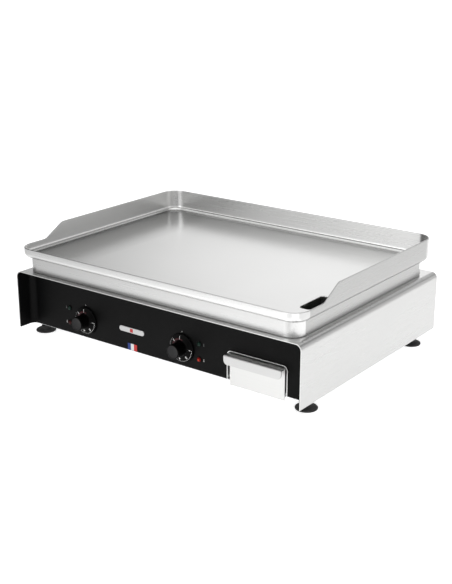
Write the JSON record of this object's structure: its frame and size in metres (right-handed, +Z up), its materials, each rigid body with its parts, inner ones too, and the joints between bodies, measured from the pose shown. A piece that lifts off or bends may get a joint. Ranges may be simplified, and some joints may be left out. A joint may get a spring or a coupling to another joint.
{
  "type": "flat top griddle",
  "caption": "Countertop electric griddle: walled steel cooking plate on a casing with two thermostat dials, pilot lamps, pull-out grease drawer and levelling feet.",
  "frame": {"origin": "on the surface the feet stand on, below the middle of the casing's width and depth", "axes": "+X to the right seen from the front, +Y from the front to the back, +Z up"},
  "size_m": [0.66, 0.482, 0.2084],
  "materials": {
    "brushed_steel": "satin",
    "plate_steel": "satin",
    "black_paint": "satin",
    "zinc_steel": "satin",
    "spreader_aluminium": "satin",
    "element_sheath": "matte",
    "ceramic_wool": "matte",
    "capillary_copper": "satin",
    "knob_plastic": "satin",
    "foot_plastic": "matte",
    "white_plastic": "matte",
    "green_lens": "gloss",
    "red_lens": "gloss",
    "label_film": "satin",
    "loom_sleeve": "matte"
  },
  "bodies": {
    "cabinet": {"badge_plate": "label_film", "banded_label": "label_film", "base_pan": "zinc_steel", "cable_gland": "foot_plastic", "casing_shell": "brushed_steel", "clamp_bolt_front_left": "zinc_steel", "clamp_bolt_front_right": "zinc_steel", "clamp_bolt_rear_left": "zinc_steel", "clamp_bolt_rear_right": "zinc_steel", "drawer_rail_left": "zinc_steel", "drawer_rail_right": "zinc_steel", "drawer_surround": "brushed_steel", "element_clamp_left": "zinc_steel", "element_clamp_right": "zinc_steel", "element_left": "element_sheath", "element_right": "element_sheath", "foot_nut_front_left": "zinc_steel", "foot_nut_front_right": "zinc_steel", "foot_nut_rear_left": "zinc_steel", "foot_nut_rear_right": "zinc_steel", "front_panel": "black_paint", "gland_nut": "zinc_steel", "grease_chute": "brushed_steel", "griddle_plate": "plate_steel", "heat_shield": "zinc_steel", "insulation_mat": "ceramic_wool", "lamp_green_left": "green_lens", "lamp_green_right": "green_lens", "lamp_red_left": "red_lens", "lamp_red_right": "red_lens", "loom_left": "loom_sleeve", "loom_right": "loom_sleeve", "plate_skirt": "brushed_steel", "rear_panel": "brushed_steel", "rear_screw_1": "zinc_steel", "rear_screw_2": "zinc_steel", "rear_screw_3": "zinc_steel", "rear_screw_4": "zinc_steel", "sensing_bulb_left": "capillary_copper", "sensing_bulb_right": "capillary_copper", "spreader_left": "spreader_aluminium", "spreader_right": "spreader_aluminium", "terminal_block": "white_plastic", "thermostat_left": "white_plastic", "thermostat_right": "white_plastic"},
    "dial_left": {"knob_left": "knob_plastic", "thermostat_shaft_left": "zinc_steel"},
    "dial_right": {"knob_right": "knob_plastic", "thermostat_shaft_right": "zinc_steel"},
    "grease_drawer": {"drawer_front": "brushed_steel", "drawer_tray": "brushed_steel"},
    "pad_front_left": {"foot_pad_front_left": "foot_plastic"},
    "stud_front_left": {"foot_stud_front_left": "zinc_steel"},
    "pad_front_right": {"foot_pad_front_right": "foot_plastic"},
    "stud_front_right": {"foot_stud_front_right": "zinc_steel"},
    "pad_rear_left": {"foot_pad_rear_left": "foot_plastic"},
    "stud_rear_left": {"foot_stud_rear_left": "zinc_steel"},
    "pad_rear_right": {"foot_pad_rear_right": "foot_plastic"},
    "stud_rear_right": {"foot_stud_rear_right": "zinc_steel"}
  },
  "joints": [
    {"name": "dial_left_turn", "type": "hinge", "parent": "cabinet", "child": "dial_left", "pos_m": [-0.183, -0.2037, 0.0525], "axis": [0, 1, 0], "range_deg": [0, 270]},
    {"name": "dial_right_turn", "type": "hinge", "parent": "cabinet", "child": "dial_right", "pos_m": [0.053, -0.2037, 0.0525], "axis": [0, 1, 0], "range_deg": [0, 270]},
    {"name": "drawer_slide", "type": "slide", "parent": "cabinet", "child": "grease_drawer", "axis": [0, -1, 0], "range_m": [0, 0.19]},
    {"name": "foot_front_left_height", "type": "slide", "parent": "cabinet", "child": "pad_front_left", "axis": [0, 0, -1], "range_m": [-0.004, 0.008]},
    {"name": "foot_front_left_turn", "type": "hinge", "parent": "pad_front_left", "child": "stud_front_left", "pos_m": [-0.31, -0.19, 0], "axis": [0, 0, -1], "range_deg": [-1160, 2320]},
    {"name": "foot_front_right_height", "type": "slide", "parent": "cabinet", "child": "pad_front_right", "axis": [0, 0, -1], "range_m": [-0.004, 0.008]},
    {"name": "foot_front_right_turn", "type": "hinge", "parent": "pad_front_right", "child": "stud_front_right", "pos_m": [0.31, -0.19, 0], "axis": [0, 0, -1], "range_deg": [-1160, 2320]},
    {"name": "foot_rear_left_height", "type": "slide", "parent": "cabinet", "child": "pad_rear_left", "axis": [0, 0, -1], "range_m": [-0.004, 0.008]},
    {"name": "foot_rear_left_turn", "type": "hinge", "parent": "pad_rear_left", "child": "stud_rear_left", "pos_m": [-0.31, 0.183, 0], "axis": [0, 0, -1], "range_deg": [-1160, 2320]},
    {"name": "foot_rear_right_height", "type": "slide", "parent": "cabinet", "child": "pad_rear_right", "axis": [0, 0, -1], "range_m": [-0.004, 0.008]},
    {"name": "foot_rear_right_turn", "type": "hinge", "parent": "pad_rear_right", "child": "stud_rear_right", "pos_m": [0.31, 0.183, 0], "axis": [0, 0, -1], "range_deg": [-1160, 2320]}
  ],
  "couplings": [
    {"joint": "foot_front_left_turn", "follows": "foot_front_left_height", "rad_per_m": 5026.5},
    {"joint": "foot_front_right_turn", "follows": "foot_front_right_height", "rad_per_m": 5026.5},
    {"joint": "foot_rear_left_turn", "follows": "foot_rear_left_height", "rad_per_m": 5026.5},
    {"joint": "foot_rear_right_turn", "follows": "foot_rear_right_height", "rad_per_m": 5026.5}
  ]
}
